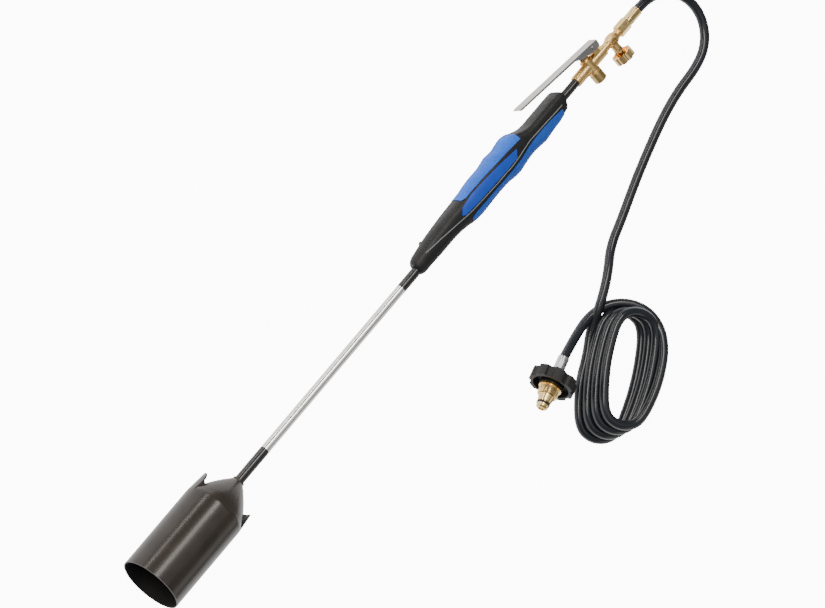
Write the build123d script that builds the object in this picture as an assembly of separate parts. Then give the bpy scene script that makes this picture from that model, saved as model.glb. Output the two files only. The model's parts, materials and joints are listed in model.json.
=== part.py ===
from build123d import *
import math
import os

# Long-reach propane torch lying on its side with its hose coiled beside it, millimetres.
# The torch is drawn in its own frame: X runs from the bell mouth to the hose,
# +Y is the lever side and +Z is the side that ends up facing up.
# place() then lays the torch on the floor, resting on its bell and its valve knob.

# ---- driving dimensions -------------------------------------------------------------
BELL_R = 35.0
BELL_WALL = 1.4
BELL_ROOT = 104.0
EAR_END = 130.0
EAR_ABOVE = 12.0
EAR_BELOW = 32.5
EAR_LEAN = 2.5
NECK_X = 147.0
PANEL_SHARE = 0.93
UNDER_PANEL_HALF = 12.5
BELL_TURN = -11.0

TUBE_R = 5.5
LANCE_R = 5.3
REAR_TUBE_R = 5.0
TUBE_BORE_R = 3.7
LANCE_START = 193.0
LANCE_END = 428.0
TUBE_JOINT = 478.0

GRIP_FRONT = 455.0
GRIP_REAR = 710.5
GRIP_HALF = 14.5
GRIP_WALL = 2.6
INLAY_STAND = 0.5
INLAY_DEPTH = 1.4

VALVE_X = 736.0
BARREL_R = 6.6
BARREL_END = 786.0
SOCKET_DEPTH = 9.0
PLUNGER_X = 761.0
PIVOT_X = 775.3
PIVOT_Y = 13.4
NEEDLE_X = 799.0
PASSAGE_R = 2.0
STEM_R = 1.5
SPRING_CAP_R = 7.55
SPRING_CAP_END = 21.0

LEVER_REST = 6.65
LEVER_HALF = 8.0
LEVER_SHEET = 1.3
LEVER_TOP = 4.65
LEVER_REACH = 114.0
LEVER_HEAD = 20.0
PIN_R = 1.6
RUNNING = 0.05

KNOB_R = 11.9
KNOB_LOBES = 8
KNOB_INNER = -17.6
KNOB_OUTER = -26.6
SPINDLE_R = 2.0
HEX_NUT_AF = 13.0
NUT_START = 812.0
FERRULE_START = 828.0
FERRULE_END = 846.0
FERRULE_R = 6.2
HOSE_R = 5.4

WHEEL_R = 25.4
WHEEL_RIM = 5.0
WHEEL_HUB_R = 13.2
WHEEL_LOBES = 8
WHEEL_HALF = 6.5
POL_THREAD_R = 11.1

# ---- lying on the floor --------------------------------------------------------------
PITCH = math.degrees(math.asin((BELL_R - KNOB_R) / (NEEDLE_X - BELL_ROOT)))
LENGTH = FERRULE_END
REST_Z = BELL_R * math.cos(math.radians(PITCH)) + BELL_ROOT * math.sin(math.radians(PITCH))
TORCH = Location((-LENGTH / 2 + 0.6, 0, REST_Z), (0, PITCH, 0))

COIL_TURNS = 4
COIL_R = 37.5
COIL_ANGLE = 30.0
COIL_LOW = (131.5, -256.0)
COIL_SHIFT = (1.5, -2.6)
COIL_RISE = 10.2
COIL_HALF_LOW = 34.0
COIL_HALF_HIGH = 29.0

POL_AT = (62.1, -198.5, 28.9)
POL_UP = 12.0
POL_HEADING = 191.0
POL_TAIL = -31.0


def place(shape):
    """Lay a torch piece on the floor."""
    return TORCH * shape


def rod_x(r, x0, x1, y=0.0, z=0.0):
    return Pos((x0 + x1) / 2, y, z) * Rot(0, 90, 0) * Cylinder(r, x1 - x0)


def rod_y(r, y0, y1, x, z=0.0):
    return Pos(x, (y0 + y1) / 2, z) * Rot(90, 0, 0) * Cylinder(r, y1 - y0)


def rod_z(r, z0, z1, x, y=0.0):
    return Pos(x, y, (z0 + z1) / 2) * Cylinder(r, z1 - z0)


def hex_y(flats, y0, y1, x):
    blank = extrude(RegularPolygon(flats / 2, 6, major_radius=False), y1 - y0)
    return Pos(x, y1, 0) * Rot(90, 0, 0) * blank


def hex_x(flats, x0, x1, turn=0.0):
    blank = extrude(RegularPolygon(flats / 2, 6, major_radius=False), x1 - x0)
    return Pos(x0, 0, 0) * Rot(turn, 0, 0) * Rot(0, 90, 0) * blank


def turned_x(points):
    """Solid of revolution about X from (x, radius) points."""
    outline = Polyline(*[(x, r) for x, r in points], close=True)
    return revolve(make_face(outline), Axis.X)


def turned_y(points, x):
    """Solid of revolution about the Y line through x, from (y, radius) points."""
    outline = Polyline(*[(x + r, y) for y, r in points], close=True)
    return revolve(make_face(outline), Axis((x, 0, 0), (0, 1, 0)))


# ---- bell and burner -----------------------------------------------------------------
def funnel_radius(x):
    """Outer radius of the pinched rear of the bell, bending in gently and ending straight."""
    u = (x - BELL_ROOT) / (NECK_X - BELL_ROOT)
    return BELL_R - (BELL_R - TUBE_R - BELL_WALL) * u**1.4


def panel_window(stations, limit):
    """Plan outline of a rear panel, nearly as wide as the pinched tube, up to a limit."""
    half = [(x, min(limit, PANEL_SHARE * funnel_radius(x))) for x in stations]
    mirrored = [(x, -w) for x, w in reversed(half)]
    return make_face(Polyline(*half, *mirrored, close=True))


def bell_panels():
    """A wide upper panel and a narrow lower one, both bent in to the neck."""
    stations = [BELL_ROOT + (NECK_X - BELL_ROOT) * i / 8 for i in range(9)]
    outer_line = [(x, funnel_radius(x)) for x in stations]
    inner_line = [(x, r - BELL_WALL) for x, r in outer_line]
    edge = Spline(*outer_line, tangents=[(1, 0), (1, -0.9)])
    back = Spline(*inner_line, tangents=[(1, 0), (1, -0.9)])
    ends = Line(outer_line[0], inner_line[0]) + Line(outer_line[-1], inner_line[-1])
    funnel = revolve(make_face(edge + back + ends), Axis.X)
    upper = funnel & extrude(panel_window(stations, BELL_R), 2 * BELL_R, dir=(0, 0, 1))
    lower = funnel & extrude(panel_window(stations, UNDER_PANEL_HALF), 2 * BELL_R, dir=(0, 0, -1))
    return upper + lower


def bell_ears():
    """Two rounded ears that carry the bell's side walls on past the slits."""
    lean = [(BELL_ROOT, BELL_R), (EAR_END, BELL_R - EAR_LEAN)]
    ring = turned_x(lean + [(x, r - BELL_WALL) for x, r in reversed(lean)])
    overlap = 20.0
    middle = ((BELL_ROOT - overlap + EAR_END) / 2, (EAR_ABOVE - EAR_BELOW) / 2)
    tongue = Pos(*middle) * Rectangle(EAR_END - BELL_ROOT + overlap, EAR_ABOVE + EAR_BELOW)
    tongue = fillet(tongue.vertices(), 13.0)
    return ring & (Rot(90, 0, 0) * extrude(tongue, 2 * BELL_R, both=True))


def bell_shell():
    tube = rod_x(BELL_R, 0, BELL_ROOT) - rod_x(BELL_R - BELL_WALL, -1, BELL_ROOT + 1)
    collar = rod_x(TUBE_R + BELL_WALL, NECK_X - 0.2, NECK_X + 2) - rod_x(TUBE_R, NECK_X - 1, NECK_X + 3)
    return Rot(BELL_TURN, 0, 0) * (tube + bell_panels() + bell_ears() + collar)


def neck_tube():
    return rod_x(TUBE_R, 134, LANCE_START) - rod_x(TUBE_BORE_R, 133, LANCE_START + 1)


def jet_holder():
    body = rod_x(TUBE_BORE_R, 134, 146) + hex_x(11.0, 127, 134) + rod_x(4.2, 120, 127)
    return body - rod_x(1.8, 119, 147) - rod_x(2.6, 119, 129)


def burner_jet():
    return rod_x(2.6, 119.5, 129) + rod_x(2.0, 117, 119.5) - rod_x(0.5, 116, 130) - rod_x(1.5, 121, 130)


# ---- lance ---------------------------------------------------------------------------
def lance_tube():
    return rod_x(LANCE_R, LANCE_START, LANCE_END) - rod_x(TUBE_BORE_R, LANCE_START - 1, LANCE_END + 1)


def front_tube():
    return rod_x(TUBE_R, LANCE_END, TUBE_JOINT) - rod_x(TUBE_BORE_R, LANCE_END - 1, TUBE_JOINT + 1)


def rear_tube():
    end = VALVE_X + SOCKET_DEPTH
    return rod_x(REAR_TUBE_R, TUBE_JOINT, end) - rod_x(TUBE_BORE_R, TUBE_JOINT - 1, end + 1)


def tube_couplers():
    joints = (LANCE_START, LANCE_END, TUBE_JOINT)
    return [rod_x(TUBE_BORE_R, x - 9, x + 9) - rod_x(2.4, x - 10, x + 10) for x in joints]


# ---- grip ----------------------------------------------------------------------------
# station, underside, lever side, half thickness, squareness of the lever side and underside
GRIP_STATIONS = [
    (455.0, -6.0, 9.3, 7.2, 2.2, 2.2),
    (458.0, -7.7, 11.9, 8.9, 2.2, 2.2),
    (467.0, -8.0, 13.9, 10.3, 2.3, 2.3),
    (482.0, -8.2, 15.8, 11.5, 2.4, 2.4),
    (502.0, -8.0, 17.2, 12.6, 2.6, 2.5),
    (521.0, -8.6, 17.8, 13.6, 3.0, 2.8),
    (540.0, -12.0, 18.3, 14.4, 3.0, 2.8),
    (556.0, -13.2, 18.9, 14.5, 3.0, 2.8),
    (575.0, -12.5, 20.2, 14.5, 3.0, 2.8),
    (593.0, -12.6, 20.9, 14.5, 3.0, 2.8),
    (606.0, -14.4, 21.4, 14.5, 3.2, 2.8),
    (622.0, -14.9, 22.0, 14.5, 3.4, 2.8),
    (631.0, -13.7, 22.0, 14.5, 3.6, 2.8),
    (638.0, -13.0, 19.8, 14.5, 4.0, 2.8),
    (648.0, -13.1, 14.9, 14.5, 5.0, 2.8),
    (656.0, -14.1, 12.3, 14.5, 6.0, 2.8),
    (668.0, -14.4, 11.8, 14.5, 6.0, 2.8),
    (681.0, -13.1, 11.8, 14.5, 6.0, 2.8),
    (694.0, -11.8, 11.7, 14.5, 6.0, 2.8),
    (702.0, -10.2, 11.6, 14.4, 6.0, 2.8),
    (708.0, -9.0, 11.4, 14.2, 6.0, 2.8),
    (710.5, -8.0, 10.9, 13.6, 6.0, 2.8),
]
SECTION_POINTS = 28
SCREW_PLACES = [(484.0, 11.0), (540.0, -8.6), (588.0, 14.2), (636.0, -8.8), (691.0, 8.0)]
SCREW_BOSS_R = 3.0


def grip_section(station, offset):
    """One closed grip outline: a squared oval grown or shrunk by offset."""
    x, low, high, half, square_top, square_under = station
    middle = (low + high) / 2
    tall = (high - low) / 2 + offset
    wide = half + offset
    points = []
    for i in range(SECTION_POINTS):
        a = 2 * math.pi * (i + 0.5) / SECTION_POINTS
        c = math.cos(a)
        s = math.sin(a)
        power = 2 / (square_top if c > 0 else square_under)
        y = middle + tall * math.copysign(abs(c) ** power, c)
        z = wide * math.copysign(abs(s) ** power, s)
        points.append(Vector(x, y, z))
    return make_face(Spline(*points, periodic=True))


def grip_form(offset, first=0, last=None):
    stations = GRIP_STATIONS[first:last]
    return loft([grip_section(station, offset) for station in stations])


def side_prism(points, z0, z1):
    """A prism through the grip from an outline in X and Y."""
    outline = make_face(Polyline(*points, close=True))
    return Pos(0, 0, z0) * extrude(outline, z1 - z0, dir=(0, 0, 1))


SIDE_INLAY = [(627, 8.6), (601, 11.6), (575, 13.2), (553, 13.8), (536, 11.6), (529.5, 6.4), (533, 3.8)]
SIDE_INLAY += [(552, 2.3), (575, 1.5), (602, 0.8), (621, 1.2)]
FINGER_INLAY = [(697, -2.2), (684, -0.6), (668, 0.4), (652, 0.2), (640, -0.8), (624, -3.6), (606, -4.4)]
FINGER_INLAY += [(588, -4.1), (566, -3.9), (545, -3.5), (537, -5.0), (533, -20), (697, -20)]
THUMB_INLAY = [(638, 12.6), (617, 14.0), (590, 15.2), (572, 15.8), (556, 15.6), (547, 15.4), (541, 17.0)]
THUMB_INLAY += [(539, 30), (638, 30)]


def grip_inlay(outline, depth_from, depth_to):
    """A soft pad set into the grip's surface inside the outline."""
    shell = grip_form(INLAY_STAND, 4) - grip_form(-INLAY_DEPTH, 4)
    return shell & side_prism(outline, depth_from, depth_to)


def rear_slant():
    """What is cut off the grip's rear end, which leans forward towards its underside."""
    line = [(710.2, 6.0), (707.5, 0.0), (704.0, -8.0), (700.0, -20.0), (720, -20), (720, 6.0)]
    return side_prism(line, -30, 30)


def grip_hardware():
    """The two grip halves with their pockets, bosses and bore, and the three pads."""
    body = grip_form(0.0)
    hollow = grip_form(-GRIP_WALL, 2, 12)
    core = rod_x(TUBE_R + 2.2, GRIP_FRONT, GRIP_REAR)
    hollow = hollow - core
    for x, y in SCREW_PLACES:
        hollow = hollow - rod_z(SCREW_BOSS_R, -40, 40, x, y)
    body = body - hollow
    body = body - rod_x(TUBE_R, GRIP_FRONT - 1, TUBE_JOINT) - rod_x(REAR_TUBE_R, TUBE_JOINT, GRIP_REAR + 1)
    body = body - rear_slant()
    thumb = grip_inlay(THUMB_INLAY, -30, 30)
    finger = grip_inlay(FINGER_INLAY, -30, 30)
    left = grip_inlay(SIDE_INLAY, 2, 30)
    right = grip_inlay(SIDE_INLAY, -30, -2)
    body = body - thumb - finger - left - right
    body = body.solids().sort_by(SortBy.VOLUME)[-1]
    return body, thumb, finger, left, right


def screw_shape(x, y):
    depth = -GRIP_HALF + 1.2
    shank = rod_z(1.3, depth + 1.8, 7, x, y)
    head = rod_z(2.5, depth, depth + 1.8, x, y)
    cross = Pos(x, y, depth) * (Box(3.2, 0.7, 1.6) + Box(0.7, 3.2, 1.6))
    return shank + head - cross


def screw_bores():
    """Holes that hold the grip screws, open on the underneath half."""
    depth = -GRIP_HALF + 1.2
    holes = []
    for x, y in SCREW_PLACES:
        holes.append(rod_z(1.3, depth + 1.7, 7.2, x, y) + rod_z(2.6, -GRIP_HALF - 4, depth + 1.8, x, y))
    return holes


# ---- valve ---------------------------------------------------------------------------
def valve_body():
    barrel = rod_x(BARREL_R, VALVE_X, BARREL_END)
    barrel = chamfer(barrel.edges(), 0.5)
    neck = rod_x(4.9, BARREL_END, 792)
    bulb = Pos(800.5, 0, 0) * scale(Sphere(1), (11.0, 7.0, 7.0))
    spigot = rod_x(5.0, 808, 819)
    boss = rod_y(7.1, -9.5, 8.2, PLUNGER_X) + rod_y(5.2, 8, 9.6, PLUNGER_X)
    ridge = rod_y(7.6, -8.6, -7.2, PLUNGER_X)
    lug = Pos(PIVOT_X, 9.6, 0) * Box(8.4, 11.6, 12.6)
    lug = fillet(lug.edges().filter_by(Axis.Z).group_by(Axis.Y)[-1], 3.6)
    plug_boss = rod_z(4.9, 0, 9.3, 798)
    plug_boss = chamfer(plug_boss.edges().group_by(Axis.Z)[-1], 0.5)
    needle_boss = rod_y(4.9, -11, 0, NEEDLE_X)
    body = barrel + neck + bulb + spigot + boss + ridge + lug + plug_boss + needle_boss
    body = body - rod_x(REAR_TUBE_R, VALVE_X - 1, VALVE_X + SOCKET_DEPTH)
    body = body - rod_x(PASSAGE_R, VALVE_X + 8, PLUNGER_X - 2, 1.6)
    body = body - rod_x(PASSAGE_R, PLUNGER_X + 2, NEEDLE_X, -4)
    body = body - rod_x(PASSAGE_R, NEEDLE_X, 820) - rod_y(2.6, -2, 3.4, PLUNGER_X)
    body = body - rod_y(4.4, -10, -2, PLUNGER_X) - rod_y(5.9, -10, -5, PLUNGER_X)
    body = body - rod_y(STEM_R + RUNNING, -3, 6, PLUNGER_X) - rod_y(3.4, 6, 10, PLUNGER_X)
    body = body - rod_z(PIN_R, -10, 10, PIVOT_X, PIVOT_Y)
    body = body - rod_y(SPINDLE_R + RUNNING, -10, -1.2, NEEDLE_X) - rod_y(1.3, -3, 2, NEEDLE_X)
    body = body - rod_y(3.7, -12, -7.5, NEEDLE_X) - rod_z(3.5, 5.5, 10, 798)
    return body


def plunger():
    thick = turned_y([(13.8, 0), (13.8, 2.5), (14.6, 2.5), (14.8, 1.9), (15.6, 1.9), (15.8, 2.5), (16.6, 2.5),
                      (16.8, 1.9), (17.4, 1.9), (17.6, 2.4), (18.1, 1.9), (18.42, 0)], PLUNGER_X)
    stem = rod_y(STEM_R, -6.6, 14, PLUNGER_X)
    poppet = rod_y(3.5, -6.2, -4.0, PLUNGER_X)
    return thick + stem + poppet


def poppet_seal():
    return rod_y(3.3, -4.0, -2.1, PLUNGER_X) - rod_y(STEM_R, -5, -1, PLUNGER_X)


def plunger_gland():
    gland = rod_y(3.4, 6.8, 9.6, PLUNGER_X) + hex_y(9.4, 9.6, 11.6, PLUNGER_X)
    return gland - rod_y(STEM_R + RUNNING, 6, 12, PLUNGER_X)


def gland_oring():
    return rod_y(3.3, 6.0, 6.8, PLUNGER_X) - rod_y(STEM_R + RUNNING, 5, 7, PLUNGER_X)


def return_spring():
    coil = Helix(2.4, 11.4, 2.9)
    wire = sweep(Location(coil @ 0, (90, 0, 0)) * Circle(0.4), path=coil, is_frenet=True)
    return Pos(PLUNGER_X, -6.8, 0) * Rot(90, 0, 0) * wire


def spring_cap():
    end = -SPRING_CAP_END
    cap = turned_y([(-10.3, 0), (-10.3, SPRING_CAP_R), (end + 1.4, SPRING_CAP_R), (end, SPRING_CAP_R - 1.4),
                    (end, 0)], PLUNGER_X)
    cap = cap + rod_y(5.9, -10.4, -5.6, PLUNGER_X)
    slot = Pos(PLUNGER_X, end, 0) * Box(8.0, 2.0, 1.4)
    return cap - rod_y(4.4, end + 2, -5, PLUNGER_X) - slot


def cap_seal():
    return rod_y(6.9, -10.3, -9.5, PLUNGER_X) - rod_y(5.9, -11, -9, PLUNGER_X)


def side_plug():
    plug = rod_z(3.5, 5.5, 8.9, 798)
    plug = chamfer(plug.edges().group_by(Axis.Z)[-1], 0.5)
    return plug - Pos(798, 0, 9) * Box(5, 0.9, 1.6)


def needle_spindle():
    tip = turned_y([(-0.2, 0), (-3.2, 1.25), (-3.2, 0)], NEEDLE_X)
    return tip + rod_y(SPINDLE_R, -25.4, -3.2, NEEDLE_X)


def packing_nut():
    nut = hex_y(9.8, -14.6, -11.0, NEEDLE_X) + rod_y(3.5, -16.2, -14.6, NEEDLE_X)
    nut = nut + rod_y(3.7, -11.0, -9.4, NEEDLE_X)
    return nut - rod_y(SPINDLE_R + RUNNING, -19, -9, NEEDLE_X)


def packing_ring():
    return rod_y(3.6, -9.4, -7.5, NEEDLE_X) - rod_y(SPINDLE_R + RUNNING, -10, -7, NEEDLE_X)


def knob():
    wheel = rod_y(KNOB_R, KNOB_OUTER, KNOB_INNER, NEEDLE_X)
    for i in range(KNOB_LOBES):
        a = 2 * math.pi * (i + 0.5) / KNOB_LOBES
        dx = (KNOB_R + 1.7) * math.cos(a)
        dz = (KNOB_R + 1.7) * math.sin(a)
        wheel = wheel - rod_y(3.1, KNOB_OUTER - 1, KNOB_INNER + 1, NEEDLE_X + dx, dz)
    wheel = wheel - rod_y(9.0, KNOB_OUTER + 3.2, KNOB_INNER + 1, NEEDLE_X)
    wheel = wheel + rod_y(3.8, KNOB_OUTER + 3, KNOB_INNER + 1, NEEDLE_X)
    wheel = wheel - rod_y(SPINDLE_R + RUNNING, KNOB_OUTER + 1.2, KNOB_INNER + 2, NEEDLE_X)
    return wheel - rod_y(3.0, KNOB_OUTER - 1, KNOB_OUTER + 1.2, NEEDLE_X)


def knob_screw():
    head = rod_y(2.9, KNOB_OUTER - 0.3, KNOB_OUTER + 1.2, NEEDLE_X)
    return head - Pos(NEEDLE_X, KNOB_OUTER - 0.3, 0) * Box(5.8, 1.2, 0.8)


def lever():
    """Sheet-metal channel, drawn along +X from its pivot and turned to its rest angle."""
    head_back = -8.0
    plate = Pos(0, 0, -LEVER_HALF) * extrude(
        make_face(
            Polyline(
                (head_back, LEVER_TOP), (head_back, -1.6), (-5.6, -3.5), (5.0, -3.5), (LEVER_HEAD - 2, -1.8),
                (LEVER_HEAD + 8, 2.2),
                (LEVER_REACH, 2.6), (LEVER_REACH, LEVER_TOP), close=True
            )
        ),
        2 * LEVER_HALF,
    )
    channel = Pos((LEVER_REACH + head_back) / 2, LEVER_TOP - LEVER_SHEET - 10, 0) * Box(
        LEVER_REACH - head_back + 2, 20, 2 * (LEVER_HALF - LEVER_SHEET)
    )
    body = plate - channel - rod_z(PIN_R + RUNNING, -10, 10, 0)
    tip = Pos(LEVER_REACH, LEVER_TOP, 0) * Box(9, 12, 2 * LEVER_HALF + 2)
    blank = Pos(LEVER_REACH - 4.5, LEVER_TOP, 0) * Box(9, 12, 2 * LEVER_HALF)
    blank = fillet(blank.edges().filter_by(Axis.Y).group_by(Axis.X)[-1], 2.5)
    body = body - (tip - blank)
    return Pos(PIVOT_X, PIVOT_Y, 0) * Rot(0, 0, 180 - LEVER_REST) * (Rot(180, 0, 0) * body)


def lever_pin():
    pin = rod_z(PIN_R, -8.8, 8.8, PIVOT_X, PIVOT_Y)
    heads = rod_z(2.3, 8.2, 9.0, PIVOT_X, PIVOT_Y) + rod_z(2.3, -9.0, -8.2, PIVOT_X, PIVOT_Y)
    return pin + heads


# ---- hose fitting at the valve -------------------------------------------------------
def swivel_nut():
    nut = hex_x(HEX_NUT_AF, NUT_START, FERRULE_START - 0.6, 15)
    return nut - rod_x(5.0, NUT_START - 1, 819) - rod_x(3.0, 818, FERRULE_START)


def hose_barb():
    barb = rod_x(3.0, 819, FERRULE_END - 3) + rod_x(4.7, 819.0, 820.4)
    for i in range(3):
        x = FERRULE_START + 2.5 + 4 * i
        barb = barb + turned_x([(x, 0), (x, 3.0), (x + 2, 3.6), (x + 2.4, 3.0), (x + 2.4, 0)])
    return barb - rod_x(1.6, 818, FERRULE_END)


def swivel_bore():
    return rod_x(4.7, 818, 820.4)


def hose_ferrule():
    sleeve = rod_x(FERRULE_R, FERRULE_START, FERRULE_END) - rod_x(3.0, FERRULE_START - 1, FERRULE_END + 1)
    for i in range(8):
        crimp = Rot(45 * i, 0, 0) * Pos(FERRULE_START + 10.2, FERRULE_R + 1.55, 0) * Box(12.4, 4, 14)
        sleeve = sleeve - crimp
    return sleeve


# ---- hose ----------------------------------------------------------------------------
def coil_axes():
    a = math.radians(COIL_ANGLE)
    return (math.cos(a), math.sin(a)), (-math.sin(a), math.cos(a))


def coil_point(along, across, z, level=0):
    """A point from distances along and across the coil, from the middle of a turn."""
    e1, e2 = coil_axes()
    x = COIL_LOW[0] + COIL_SHIFT[0] * level + along * e1[0] + across * e2[0]
    y = COIL_LOW[1] + COIL_SHIFT[1] * level + along * e1[1] + across * e2[1]
    return x, y, z


def hose_route():
    """Points of the loose hose, from the ferrule to where the coil takes over."""
    start = (TORCH * Pos(FERRULE_END, 0, 0)).position
    hump = 3.35 * HOSE_R
    return [
        (start.X, start.Y, start.Z),
        (430.5, 0.0, 10.1),
        (444.4, -2.1, 9.6),
        (459.7, -9.4, 8.8),
        (471.5, -21.6, 7.9),
        (478.3, -37.2, 6.9),
        (479.2, -54.2, 6.0),
        (474.1, -70.4, HOSE_R),
        (463.6, -83.8, HOSE_R),
        (449.1, -92.7, HOSE_R),
        (429.5, -97.3, HOSE_R),
        (402.0, -99.0, HOSE_R),
        (370.0, -105.0, HOSE_R),
        (334.0, -116.0, HOSE_R),
        (294.0, -129.8, HOSE_R),
        coil_point(161, 34.0, HOSE_R),
        coil_point(129, 40, HOSE_R),
        coil_point(97, 42.5, hump),
        coil_point(65, 43, hump),
        coil_point(36, 41.6, HOSE_R + 1),
        coil_point(10, 38, HOSE_R),
    ]


def tail_route():
    """Points of the hose from the top of the coil to the tank fitting."""
    end = (pol_frame() * Pos(POL_TAIL, 0, 0)).position
    return [
        coil_point(27, -51, 33.0),
        coil_point(54, -48.5, 25.0),
        coil_point(76.5, -34, 14.0),
        coil_point(88, -10, 6.6),
        coil_point(88, 17, HOSE_R),
        coil_point(77, 41, HOSE_R),
        coil_point(57, 58, HOSE_R + 2),
        coil_point(31, 68.5, 14.0),
        (end.X, end.Y, end.Z),
    ]


def tube_along(name, points):
    """A round hose along straight runs joined by large arcs; prints its radii and volume."""
    runs = [Vector(*b) - Vector(*a) for a, b in zip(points, points[1:])]
    radii = []
    for before, after in zip(runs, runs[1:]):
        half_turn = math.radians(before.get_angle(after)) / 2
        radii.append(0.45 * min(before.length, after.length) / math.tan(half_turn))
    path = FilletPolyline(*points, radius=radii)
    plane = Plane(origin=points[0], z_dir=runs[0])
    tube = sweep(plane * Circle(HOSE_R), path=path)
    ratio = tube.volume / (math.pi * HOSE_R**2 * path.length)
    print(name, "radii", [round(r) for r in radii], "runs", [round(r.length) for r in runs])
    print(name, "length", round(path.length, 1), "volume ratio", round(ratio, 4))
    return tube


def stadium(half, radius, level, z):
    outline = SlotCenterToCenter(2 * half, 2 * radius)
    return Location(coil_point(0, 0, z, level), (0, 0, COIL_ANGLE)) * outline


def hose_coil():
    """One closed ring with the outer shape of the fanned, stacked turns."""
    top = COIL_TURNS - 1
    low_z = 0.0
    high_z = 2 * HOSE_R + COIL_RISE * top
    outside = COIL_R + HOSE_R
    inside = COIL_R - HOSE_R
    outer = loft([stadium(COIL_HALF_LOW, outside, 0, low_z), stadium(COIL_HALF_HIGH, outside, top, high_z)])
    inner = loft([stadium(COIL_HALF_LOW, inside, 0, low_z), stadium(COIL_HALF_HIGH, inside, top, high_z)])
    return outer - inner


# ---- tank fitting --------------------------------------------------------------------
def pol_frame():
    """The fitting is drawn along +X with the handwheel's middle at its origin."""
    return Location(POL_AT) * Location((0, 0, 0), (0, 0, POL_HEADING)) * Location((0, 0, 0), (0, -POL_UP, 0))


def pol_ferrule():
    sleeve = rod_x(6.2, -31, -14) - rod_x(3.0, -32, -13)
    for i in range(6):
        sleeve = sleeve - Rot(60 * i, 0, 0) * Pos(-21, 6.2 + 1.7, 0) * Box(10, 4, 12)
    return sleeve


def pol_nipple():
    stem = rod_x(3.0, -28, -13) + rod_x(4.6, -14, 19)
    nose = turned_x([(18.5, 0), (18.5, 8.9), (25.5, 7.4), (27.0, 7.4), (27.0, 5.4), (29.4, 5.4), (29.4, 6.9),
                     (32.4, 6.4), (34.0, 4.6), (34.0, 0)])
    return stem + nose - rod_x(1.8, -29, 35) - rod_x(3.2, 31.5, 35)


def pol_oring():
    return Pos(28.2, 0, 0) * Rot(0, 90, 0) * Torus(6.5, 1.15)


def pol_check_pin():
    return rod_x(1.2, 24, 33.2) + rod_x(1.7, 24, 26)


def pol_handwheel():
    wheel = rod_x(WHEEL_R, -WHEEL_HALF, WHEEL_HALF)
    for i in range(WHEEL_LOBES):
        a = 360 * i / WHEEL_LOBES
        wheel = wheel - Rot(a, 0, 0) * rod_x(5.6, -20, 20, WHEEL_R + 2.8)
    wheel = wheel - (rod_x(WHEEL_R - WHEEL_RIM, -1.5, 20) - rod_x(WHEEL_HUB_R, -1.5, 20))
    wheel = wheel + (rod_x(10.5, -13, -WHEEL_HALF))
    return wheel - rod_x(8.0, -20, 20)


def pol_nut():
    nut = rod_x(8.0, -13, WHEEL_HALF) + rod_x(WHEEL_HUB_R - 0.5, WHEEL_HALF, 8.6)
    nut = nut + rod_x(POL_THREAD_R - 0.4, 8.6, 18.0)
    for i in range(5):
        x = 9.2 + 1.81 * i
        ridge = [(x, POL_THREAD_R - 0.6), (x + 0.65, POL_THREAD_R), (x + 1.3, POL_THREAD_R - 0.6)]
        nut = nut + turned_x([(x, 5)] + ridge + [(x + 1.3, 5)])
    return nut - rod_x(4.6 + RUNNING, -14, 20)


# ---- build ---------------------------------------------------------------------------
def write(name, shape):
    """One solid keeps its own place; loose pieces of one kind go into one node."""
    if isinstance(shape, (list, tuple)):
        shape = Compound(children=list(shape))
    export_step(shape, "parts/" + name + ".step")


def main():
    os.makedirs("parts", exist_ok=True)
    body, thumb, finger, side_left, side_right = grip_hardware()
    for hole in screw_bores():
        body = body - hole
        thumb = thumb - hole
        finger = finger - hole
        side_right = side_right - hole
    upper = Pos(GRIP_FRONT + 130, 0, 50) * Box(400, 100, 100)
    lower = Pos(GRIP_FRONT + 130, 0, -50) * Box(400, 100, 100)
    torch = {
        "bell": bell_shell(),
        "neck_tube": neck_tube(),
        "jet_holder": jet_holder(),
        "burner_jet": burner_jet(),
        "lance_tube": lance_tube(),
        "front_tube": front_tube(),
        "rear_tube": rear_tube(),
        "tube_couplers": tube_couplers(),
        "grip_left_shell": body & upper,
        "grip_right_shell": body & lower,
        "thumb_pad": thumb,
        "finger_pad": finger,
        "side_pad_left": side_left,
        "side_pad_right": side_right,
        "grip_screws": [screw_shape(x, y) for x, y in SCREW_PLACES],
        "valve_body": valve_body(),
        "plunger": plunger(),
        "poppet_seal": poppet_seal(),
        "plunger_gland": plunger_gland(),
        "gland_oring": gland_oring(),
        "return_spring": return_spring(),
        "spring_cap": spring_cap(),
        "cap_seal": cap_seal(),
        "side_plug": side_plug(),
        "needle_spindle": needle_spindle(),
        "packing_nut": packing_nut(),
        "packing_ring": packing_ring(),
        "knob": knob(),
        "knob_screw": knob_screw(),
        "lever": lever(),
        "lever_pin": lever_pin(),
        "swivel_nut": swivel_nut() - swivel_bore(),
        "hose_barb": hose_barb(),
        "hose_ferrule": hose_ferrule() - hose_barb(),
    }
    for name, shape in torch.items():
        placed = [place(one) for one in shape] if isinstance(shape, list) else place(shape)
        write(name, placed)
    fitting = {
        "pol_ferrule": pol_ferrule(),
        "pol_nipple": pol_nipple() - pol_check_pin(),
        "pol_check_pin": pol_check_pin(),
        "pol_oring": pol_oring(),
        "pol_handwheel": pol_handwheel(),
        "pol_nut": pol_nut(),
    }
    for name, shape in fitting.items():
        write(name, pol_frame() * shape)
    write("hose", tube_along("hose", hose_route()))
    write("hose_coil", hose_coil())
    write("hose_tail", tube_along("hose_tail", tail_route()))
    print("pitch", round(PITCH, 3), "rest height", round(REST_Z, 3))


main()
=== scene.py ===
"""Looks of a roofing propane torch with its hose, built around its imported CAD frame."""
import json
import math

import bmesh
import bpy
from mathutils import Matrix, Vector


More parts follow.
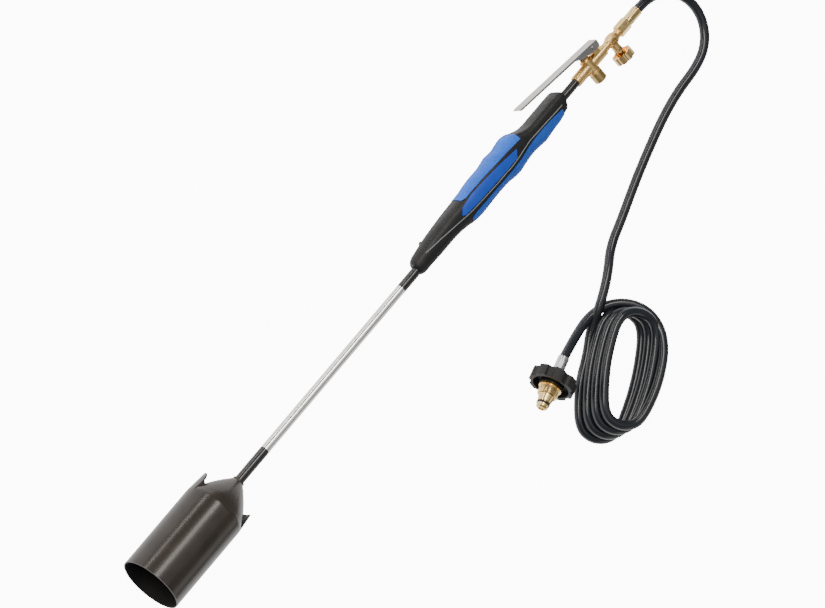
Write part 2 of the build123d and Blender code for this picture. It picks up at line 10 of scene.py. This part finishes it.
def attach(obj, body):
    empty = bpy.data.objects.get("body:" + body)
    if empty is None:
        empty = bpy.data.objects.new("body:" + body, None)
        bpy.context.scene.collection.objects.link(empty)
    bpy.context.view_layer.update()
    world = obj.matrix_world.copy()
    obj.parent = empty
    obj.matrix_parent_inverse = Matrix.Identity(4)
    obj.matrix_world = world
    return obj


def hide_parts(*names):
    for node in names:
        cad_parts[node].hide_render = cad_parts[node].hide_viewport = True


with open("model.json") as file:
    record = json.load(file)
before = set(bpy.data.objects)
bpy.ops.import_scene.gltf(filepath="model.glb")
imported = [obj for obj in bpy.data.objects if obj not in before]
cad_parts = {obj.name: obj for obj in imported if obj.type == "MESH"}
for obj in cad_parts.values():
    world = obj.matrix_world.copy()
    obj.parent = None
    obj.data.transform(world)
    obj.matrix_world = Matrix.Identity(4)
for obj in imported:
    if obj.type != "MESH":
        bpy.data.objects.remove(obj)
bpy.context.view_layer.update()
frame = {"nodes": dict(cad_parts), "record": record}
MM = 0.001

# ---- the torch's own axes --------------------------------------------------------------
# Torch stations run from the bell's mouth (0) to the hose ferrule's end, +Y is the lever's side.
FERRULE_END = 846.0
PITCH = math.radians(1.90471)
MOUTH = Vector((-422.4, 0.0, 38.437))
TORCH = Matrix.Translation(MOUTH) @ Matrix.Rotation(PITCH, 4, "Y")


def at(x, y=0.0, z=0.0):
    """A point of the torch, in millimetres along its own axes, as a place in metres."""
    return (TORCH @ Vector((x, y, z))) * MM


# ---- small builders --------------------------------------------------------------------
def add_object(name, data, body):
    obj = bpy.data.objects.new(name, data)
    bpy.context.scene.collection.objects.link(obj)
    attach(obj, body)
    return obj


def tube_curve(name, points, radius, body, cyclic=False, resolution=6):
    """A round bead, wire or hose that follows points in metres.

    The radius is carried by the points and not by the bevel, so that the curve's box is true before it is meshed.
    """
    curve = bpy.data.curves.new(name, "CURVE")
    curve.dimensions = "3D"
    curve.resolution_u = resolution
    curve.bevel_depth = 1.0
    curve.bevel_resolution = 6
    curve.use_fill_caps = True
    spline = curve.splines.new("NURBS")
    spline.points.add(len(points) - 1)
    for point, place in zip(spline.points, points):
        point.co = (*place, 1.0)
        point.radius = radius
    spline.order_u = 3
    spline.use_endpoint_u = not cyclic
    spline.use_cyclic_u = cyclic
    return add_object(name, curve, body)


# ---- materials -------------------------------------------------------------------------
class Finish:
    """A principled material whose colour, roughness and relief come from noise."""

    def __init__(self, name, colour, roughness, metallic=0.0, coat=0.0, specular=0.5):
        self.material = bpy.data.materials.new(name)
        self.material.use_nodes = True
        self.nodes = self.material.node_tree.nodes
        self.links = self.material.node_tree.links
        self.shader = self.nodes["Principled BSDF"]
        self.shader.inputs["Base Color"].default_value = (*colour, 1.0)
        self.shader.inputs["Roughness"].default_value = roughness
        self.shader.inputs["Metallic"].default_value = metallic
        self.shader.inputs["Coat Weight"].default_value = coat
        self.shader.inputs["Coat Roughness"].default_value = 0.12
        self.shader.inputs["Specular IOR Level"].default_value = specular
        self.colour = colour

    def coordinates(self, stretch):
        place = self.nodes.new("ShaderNodeTexCoord")
        mapping = self.nodes.new("ShaderNodeMapping")
        mapping.inputs["Scale"].default_value = stretch
        self.links.new(place.outputs["Object"], mapping.inputs["Vector"])
        return mapping.outputs["Vector"]

    def noise(self, scale, stretch=(1, 1, 1), detail=3.0):
        texture = self.nodes.new("ShaderNodeTexNoise")
        texture.inputs["Scale"].default_value = scale
        texture.inputs["Detail"].default_value = detail
        self.links.new(self.coordinates(stretch), texture.inputs["Vector"])
        return texture.outputs["Fac"]

    def cells(self, scale, stretch=(1, 1, 1)):
        texture = self.nodes.new("ShaderNodeTexVoronoi")
        texture.feature = "SMOOTH_F1"
        texture.inputs["Scale"].default_value = scale
        self.links.new(self.coordinates(stretch), texture.inputs["Vector"])
        return texture.outputs["Distance"]

    def spread(self, value, low, high, limits=(0.3, 0.7)):
        ranged = self.nodes.new("ShaderNodeMapRange")
        ranged.inputs["From Min"].default_value = limits[0]
        ranged.inputs["From Max"].default_value = limits[1]
        ranged.inputs["To Min"].default_value = low
        ranged.inputs["To Max"].default_value = high
        self.links.new(value, ranged.inputs["Value"])
        return ranged.outputs["Result"]

    def blend(self, factor, first, second):
        mix = self.nodes.new("ShaderNodeMix")
        mix.data_type = "RGBA"
        self.links.new(factor, mix.inputs["Factor"])
        for socket, colour in ((mix.inputs[6], first), (mix.inputs[7], second)):
            if isinstance(colour, tuple):
                socket.default_value = (*colour, 1.0)
            else:
                self.links.new(colour, socket)
        return mix.outputs[2]

    def mottle(self, other, scale, stretch=(1, 1, 1), limits=(0.35, 0.7)):
        factor = self.spread(self.noise(scale, stretch), 0.0, 1.0, limits)
        self.links.new(self.blend(factor, self.colour, other), self.shader.inputs["Base Color"])
        return self

    def sheen_range(self, low, high, scale, stretch=(1, 1, 1)):
        value = self.spread(self.noise(scale, stretch), low, high)
        self.links.new(value, self.shader.inputs["Roughness"])
        return self

    def relief(self, height_source, strength, distance):
        bump = self.nodes.new("ShaderNodeBump")
        bump.inputs["Strength"].default_value = strength
        bump.inputs["Distance"].default_value = distance
        self.links.new(height_source, bump.inputs["Height"])
        last = self.shader.inputs["Normal"]
        if last.is_linked:
            self.links.new(last.links[0].from_socket, bump.inputs["Normal"])
        self.links.new(bump.outputs["Normal"], last)
        return self


BELL_THIN = (0.022, 0.017, 0.014)
BELL_WORN = (0.032, 0.025, 0.020)
# painted shade: the darker colour given to the bell's inner faces
BELL_PAINTED_SHADE = (0.010, 0.009, 0.009)
BELL_INNER_ROUGHNESS = 0.62


def bell_finish():
    """Dark stove paint outside; on the inner faces painted shade, a darker colour, with a matt finish."""
    finish = Finish("bell_paint_worn_inner_shade", BELL_THIN, 0.34, coat=0.1, specular=0.34)
    geometry = finish.nodes.new("ShaderNodeNewGeometry")
    offset = finish.nodes.new("ShaderNodeVectorMath")
    offset.operation = "SUBTRACT"
    offset.inputs[1].default_value = at(0)
    along = finish.nodes.new("ShaderNodeVectorMath")
    along.operation = "MULTIPLY"
    along.inputs[1].default_value = (0.0, 1.0, 1.0)
    axis_drop = finish.nodes.new("ShaderNodeVectorMath")
    axis_drop.operation = "DOT_PRODUCT"
    finish.links.new(geometry.outputs["Position"], offset.inputs[0])
    finish.links.new(offset.outputs["Vector"], along.inputs[0])
    finish.links.new(along.outputs["Vector"], axis_drop.inputs[0])
    finish.links.new(geometry.outputs["Normal"], axis_drop.inputs[1])
    # inside marks the faces turned towards the bell's axis; they get painted shade (a darker colour) and a matt
    # roughness
    inside = finish.spread(axis_drop.outputs["Value"], 1.0, 0.0, (-0.004, 0.004))
    worn = finish.blend(finish.spread(finish.noise(55.0), 0.0, 1.0), BELL_THIN, BELL_WORN)
    finish.links.new(finish.blend(inside, worn, BELL_PAINTED_SHADE), finish.shader.inputs["Base Color"])
    outside = finish.spread(finish.noise(40.0, (0.25, 1, 1)), 0.24, 0.29)
    rough = finish.nodes.new("ShaderNodeMix")
    rough.inputs["B"].default_value = BELL_INNER_ROUGHNESS
    finish.links.new(inside, rough.inputs["Factor"])
    finish.links.new(outside, rough.inputs["A"])
    finish.links.new(rough.outputs["Result"], finish.shader.inputs["Roughness"])
    finish.relief(finish.noise(500.0, detail=1.0), 0.012, 0.0002)
    finish.relief(finish.noise(20.0, (0.2, 1, 1), 1.0), 0.05, 0.0006)
    return finish.material


def tube_finish():
    finish = Finish("tube_enamel", (0.008, 0.008, 0.009), 0.2, coat=0.4, specular=0.45)
    finish.sheen_range(0.18, 0.28, 120.0, (0.2, 1, 1))
    return finish.relief(finish.noise(120.0, (0.3, 1, 1), 1.0), 0.02, 0.0002).material


def chrome_finish():
    finish = Finish("lance_plate", (0.90, 0.88, 0.86), 0.16, metallic=1.0)
    finish.mottle((0.76, 0.75, 0.74), 60.0, (1, 8, 8))
    finish.sheen_range(0.12, 0.2, 60.0, (0.35, 10, 10))
    return finish.relief(finish.noise(50.0, (0.3, 12, 12), 1.5), 0.05, 0.00025).material


def grip_finish():
    finish = Finish("grip_plastic", (0.006, 0.006, 0.0065), 0.46, specular=0.36)
    finish.mottle((0.010, 0.010, 0.011), 140.0)
    finish.sheen_range(0.42, 0.54, 180.0)
    return finish.relief(finish.noise(2600.0, detail=1.5), 0.25, 0.00025).material


def pad_finish(name, colour, other, grain):
    finish = Finish(name, colour, 0.5, specular=0.4)
    finish.mottle(other, 90.0)
    finish.sheen_range(0.46, 0.58, 300.0)
    if grain:
        finish.relief(finish.cells(grain), 0.8, 0.0007)
    return finish.relief(finish.noise(1500.0), 0.15, 0.0002).material


def brass_finish(name, colour, other, low, high, cast=0.0):
    finish = Finish(name, colour, low, metallic=1.0)
    finish.mottle(other, 120.0)
    finish.sheen_range(low, high, 260.0)
    if cast:
        finish.relief(finish.noise(900.0, detail=4.0), cast, 0.0004)
    return finish.relief(finish.noise(160.0), 0.1, 0.0003).material


def steel_finish(name, colour, low, high, stretch=(1, 1, 1)):
    finish = Finish(name, colour, low, metallic=1.0)
    finish.mottle(tuple(0.82 * c for c in colour), 130.0, stretch)
    finish.sheen_range(low, high, 200.0, stretch)
    return finish.relief(finish.noise(420.0, stretch), 0.1, 0.0002).material


def rubber_finish(name, colour, low, high):
    finish = Finish(name, colour, low, specular=0.5)
    finish.mottle(tuple(1.5 * c for c in colour), 45.0)
    finish.sheen_range(low, high, 60.0)
    return finish.relief(finish.noise(60.0, detail=1.0), 0.03, 0.0003).material


FINISHES = {
    "bell_paint": bell_finish(),
    "tube_paint": tube_finish(),
    "jet_brass": brass_finish("jet_brass_heated", (0.50, 0.33, 0.13), (0.34, 0.22, 0.10), 0.34, 0.5),
    "lance_chrome": chrome_finish(),
    "hidden_steel": steel_finish("coupler_steel", (0.45, 0.45, 0.46), 0.3, 0.45),
    "grip_black": grip_finish(),
    "pad_blue": pad_finish("pad_blue_pebbled", (0.008, 0.115, 0.66), (0.012, 0.145, 0.74), 1050.0),
    "side_blue": pad_finish("side_pad_blue", (0.004, 0.052, 0.42), (0.005, 0.062, 0.48), 0.0),
    "screw_steel": steel_finish("screw_zinc", (0.42, 0.42, 0.44), 0.28, 0.42),
    "valve_brass": brass_finish("valve_brass_cast", (0.90, 0.62, 0.25), (0.80, 0.52, 0.18), 0.26, 0.38, 0.2),
    "stem_steel": steel_finish("stem_stainless", (0.62, 0.62, 0.63), 0.16, 0.26),
    "seal_rubber": rubber_finish("seal_nitrile", (0.012, 0.012, 0.012), 0.4, 0.55),
    "lever_nickel": steel_finish("lever_nickel_plate", (0.58, 0.55, 0.52), 0.20, 0.30, (0.4, 2, 2)),
    "hose_rubber": rubber_finish("hose_jacket", (0.010, 0.012, 0.015), 0.20, 0.26),
    "fitting_silver": steel_finish("ferrule_zinc", (0.68, 0.68, 0.68), 0.26, 0.4),
    "fitting_brass": brass_finish("fitting_brass_turned", (0.95, 0.70, 0.32), (0.88, 0.61, 0.24), 0.2, 0.3),
    "wheel_black": rubber_finish("wheel_plastic", (0.004, 0.004, 0.004), 0.5, 0.6),
}
POLISHED = brass_finish("nut_brass_polished", (0.94, 0.68, 0.31), (0.88, 0.60, 0.24), 0.16, 0.25)
DARK_BRASS = brass_finish("cap_brass_dull", (0.52, 0.35, 0.14), (0.60, 0.42, 0.18), 0.26, 0.4, 0.2)

# painted shade: a darker copy of the pebbled blue pad, for the finger pad
PAINTED_SHADE_PAD = pad_finish("pad_blue_painted_shade", (0.005, 0.070, 0.40), (0.006, 0.085, 0.46), 1050.0)
BEAD = pad_finish("grip_bead_grey", (0.16, 0.17, 0.18), (0.20, 0.21, 0.22), 0.0)


def give(obj, material):
    """Puts one material on an object, in place of what it came with."""
    if not obj.data.materials:
        obj.data.materials.append(material)
    for slot in obj.material_slots:
        slot.link = "OBJECT"
        slot.material = material


def dress_nodes():
    for part in frame["record"]["subparts"]:
        give(frame["nodes"][part["node"]], FINISHES[part["material_slot"]])
    for node in ("swivel_nut", "hose_ferrule", "knob"):
        give(frame["nodes"][node], POLISHED)
    for node in ("spring_cap", "packing_nut", "plunger_gland", "cap_seal", "side_plug"):
        give(frame["nodes"][node], DARK_BRASS)
    # the finger pad gets the darker copy of the blue pad as painted shade
    give(frame["nodes"]["finger_pad"], PAINTED_SHADE_PAD)


# ---- hose ------------------------------------------------------------------------------
HOSE_R = 5.4
COIL_TURNS = 3.5
COIL_STEPS = 16
COIL_RISE = 10.6
COIL_R = (32.0, 31.0)
COIL_HALF = (40.7, 32.6)
COIL_TIP = 0.144
COIL_MIDDLE = (120.0, -252.8)
COIL_SHIFT = (4.36, -0.68)
COIL_ANGLE = math.radians(32.0)
FITTING_AT = Vector((62.1, -198.5, 28.9))
FITTING_TURN = Matrix.Rotation(math.radians(191.0), 4, "Z") @ Matrix.Rotation(math.radians(-12.0), 4, "Y")
FITTING = Matrix.Translation(FITTING_AT) @ FITTING_TURN
FITTING_TAIL = -31.0


def coil_point(along, across, z, level=0.0):
    """A point in millimetres from distances along and across the coil's turns."""
    c = math.cos(COIL_ANGLE)
    s = math.sin(COIL_ANGLE)
    x = COIL_MIDDLE[0] + COIL_SHIFT[0] * level + along * c - across * s
    y = COIL_MIDDLE[1] + COIL_SHIFT[1] * level + along * s + across * c
    return x, y, z


def coil_turns():
    """The turns, from the left side at the floor to the last pass down the left side on top."""
    points = []
    for step in range(1, int(COIL_TURNS * COIL_STEPS)):
        turn = step / COIL_STEPS
        angle = math.pi / 2 + 2 * math.pi * turn
        share = turn / COIL_TURNS
        half = COIL_HALF[0] + (COIL_HALF[1] - COIL_HALF[0]) * share
        radius = COIL_R[0] + (COIL_R[1] - COIL_R[0]) * share
        ends = max(-1.0, min(1.0, 2.2 * math.cos(angle)))
        radius *= 1 - COIL_TIP * max(0.0, -ends)
        along = radius * math.cos(angle) + half * ends
        across = radius * math.sin(angle)
        points.append(coil_point(along, across, HOSE_R + COIL_RISE * turn, turn))
    return points


def hose_points():
    start = TORCH @ Vector((FERRULE_END, 0, 0))
    end = FITTING @ Vector((FITTING_TAIL, 0, 0))
    over_tail = 3.35 * HOSE_R
    loose = [
        (start.x, start.y, start.z),
        (430.5, 0.0, 10.1),
        (444.4, -2.1, 9.6),
        (459.7, -9.4, 8.8),
        (471.5, -21.6, 7.9),
        (478.3, -37.2, 6.9),
        (479.2, -54.2, 6.0),
        (474.1, -70.4, HOSE_R),
        (463.6, -83.8, HOSE_R),
        (449.1, -92.7, HOSE_R),
        (429.5, -97.3, HOSE_R),
        (402.0, -99.0, HOSE_R),
        (370.0, -105.0, HOSE_R),
        (334.0, -116.0, HOSE_R),
        (294.0, -129.8, HOSE_R),
        (253.9, -146.1, HOSE_R),
        (223.2, -156.9, HOSE_R),
        (194.3, -170.7, over_tail),
        (166.3, -186.3, over_tail),
        (141.9, -202.0, HOSE_R + 1),
        (121.2, -218.1, HOSE_R),
        (93.5, -232.5, HOSE_R),
    ]
    tail = [
        (137.8, -289.5, 43.0),
        (156.9, -280.1, 43.0),
        (177.5, -267.7, 40.5),
        (193.3, -250.5, 35.0),
        (198.3, -229.0, 27.5),
        (190.5, -208.9, 19.0),
        (173.6, -194.9, 12.0),
        (151.8, -189.5, 9.0),
        (126.0, -189.8, 12.5),
        (end.x, end.y, end.z),
    ]
    return [Vector(p) * MM for p in loose + coil_turns() + tail]


def build_hose():
    points = hose_points()
    hose = tube_curve("gas_hose", points, HOSE_R * MM, "torch", resolution=8)
    give(hose, FINISHES["hose_rubber"])
    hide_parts("hose", "hose_coil", "hose_tail")


# ---- grip's raised lines ----------------------------------------------------------------
BEAD_LINE = [(700, 1.0), (685, 1.5), (672, 2.0), (654, 2.5), (645, 2.9), (632, 1.2), (625, 0.2), (610, -1.0),
             (598, -0.6), (585, -0.7), (566, 0.0), (541, 1.2), (519, 3.9), (496, 6.7), (472, 8.7)]
BEAD_R = 0.55
BEAD_PROUD = 0.1
ABOVE_GRIP = 40.0


def surface_point(shell, x, y, side):
    """The place on a grip half's outer face that lies straight above a point of the torch's middle plane."""
    inverse = shell.matrix_world.inverted()
    start = inverse @ at(x, y, ABOVE_GRIP * side)
    towards = inverse @ at(x, y, 0.0) - start
    found, place, normal, _ = shell.ray_cast(start, towards.normalized())
    if not found:
        return None
    return shell.matrix_world @ (place + normal * BEAD_PROUD * MM)


def eased_line(points, parts):
    """Extra points between the given ones, evenly spread along each piece."""
    line = []
    for (x0, y0), (x1, y1) in zip(points, points[1:]):
        for step in range(parts):
            share = step / parts
            line.append((x0 + (x1 - x0) * share, y0 + (y1 - y0) * share))
    return line + [points[-1]]


def build_beads():
    for name, side in (("left", 1), ("right", -1)):
        shell = frame["nodes"][f"grip_{name}_shell"]
        places = [surface_point(shell, x, y, side) for x, y in eased_line(BEAD_LINE, 4)]
        bead = tube_curve(f"grip_bead_{name}", [p for p in places if p], BEAD_R * MM, "torch")
        give(bead, BEAD)


# ---- stage, light and camera -----------------------------------------------------------
FLOOR_REACH = 6.0
FLOOR_GLOW = 1.2
FLOOR_GLOW_SEEN = 11.2


def build_floor():
    """A pale light table: paper that glows a little on the torch, and more where the camera sees it."""
    reach = FLOOR_REACH
    corners = [(-reach, -reach, 0), (reach, -reach, 0), (reach, reach, 0), (-reach, reach, 0)]
    mesh = bpy.data.meshes.new("studio_floor")
    mesh.from_pydata(corners, [], [(0, 1, 2, 3)])
    floor = bpy.data.objects.new("studio_floor", mesh)
    bpy.context.scene.collection.objects.link(floor)
    finish = Finish("floor_paper", (0.50, 0.50, 0.50), 0.9, specular=0.1)
    finish.mottle((0.48, 0.48, 0.485), 3.0)
    finish.shader.inputs["Emission Color"].default_value = (1.0, 1.0, 1.0, 1.0)
    rays = finish.nodes.new("ShaderNodeLightPath")
    glow = finish.nodes.new("ShaderNodeMath")
    glow.operation = "MULTIPLY_ADD"
    glow.inputs[1].default_value = FLOOR_GLOW_SEEN - FLOOR_GLOW
    glow.inputs[2].default_value = FLOOR_GLOW
    finish.links.new(rays.outputs["Is Camera Ray"], glow.inputs[0])
    finish.links.new(glow.outputs["Value"], finish.shader.inputs["Emission Strength"])
    give(floor, finish.material)


def area_light(name, place, target, size, power, colour=(1, 1, 1)):
    light = bpy.data.lights.new(name, "AREA")
    light.shape = "RECTANGLE"
    light.size = size[0]
    light.size_y = size[1]
    light.energy = power
    light.color = colour
    obj = bpy.data.objects.new(name, light)
    obj.location = place
    obj.rotation_euler = (Vector(target) - Vector(place)).to_track_quat("-Z", "Y").to_euler()
    bpy.context.scene.collection.objects.link(obj)


WARM = (1.0, 0.95, 0.89)


def build_lights():
    world = bpy.data.worlds.new("studio")
    world.use_nodes = True
    background = world.node_tree.nodes["Background"]
    background.inputs["Color"].default_value = (0.95, 0.97, 1.0, 1.0)
    background.inputs["Strength"].default_value = 0.25
    bpy.context.scene.world = world
    area_light("strip_high", (0.0, 1.15, 2.2), (0, 0, 0), (3.2, 0.55), 62, WARM)
    area_light("strip_low", (0.0, 2.3, 0.65), (0, 0, 0), (3.2, 0.22), 26, WARM)
    area_light("fill_right", (0.3, -2.2, 1.0), (0, -0.1, 0), (2.4, 0.9), 8, WARM)
    area_light("overhead", (0.0, 0.0, 3.0), (0, 0, 0), (2.6, 2.6), 12)


def build_camera():
    azimuth = math.radians(133.285)
    elevation = math.radians(61.287)
    roll = math.radians(-91.37)
    distance = 8.165
    target = Vector((0.0052, -0.0226, 0.020))
    back = Vector((math.cos(elevation) * math.cos(azimuth), math.cos(elevation) * math.sin(azimuth),
                   math.sin(elevation)))
    level_up = (Vector((0, 0, 1)) - back * back.z).normalized()
    level_right = level_up.cross(back)
    up = level_up * math.cos(roll) + level_right * math.sin(roll)
    right = up.cross(back)
    data = bpy.data.cameras.new("camera")
    data.sensor_width = 36.0
    data.lens = 339.0
    data.clip_end = 100.0
    camera = bpy.data.objects.new("camera", data)
    turned = Matrix((right, up, back)).transposed().to_4x4()
    camera.matrix_world = Matrix.Translation(target + back * distance) @ turned
    bpy.context.scene.collection.objects.link(camera)
    bpy.context.scene.camera = camera


dress_nodes()
build_hose()
build_beads()
build_floor()
build_lights()
build_camera()

bpy.context.view_layer.update()
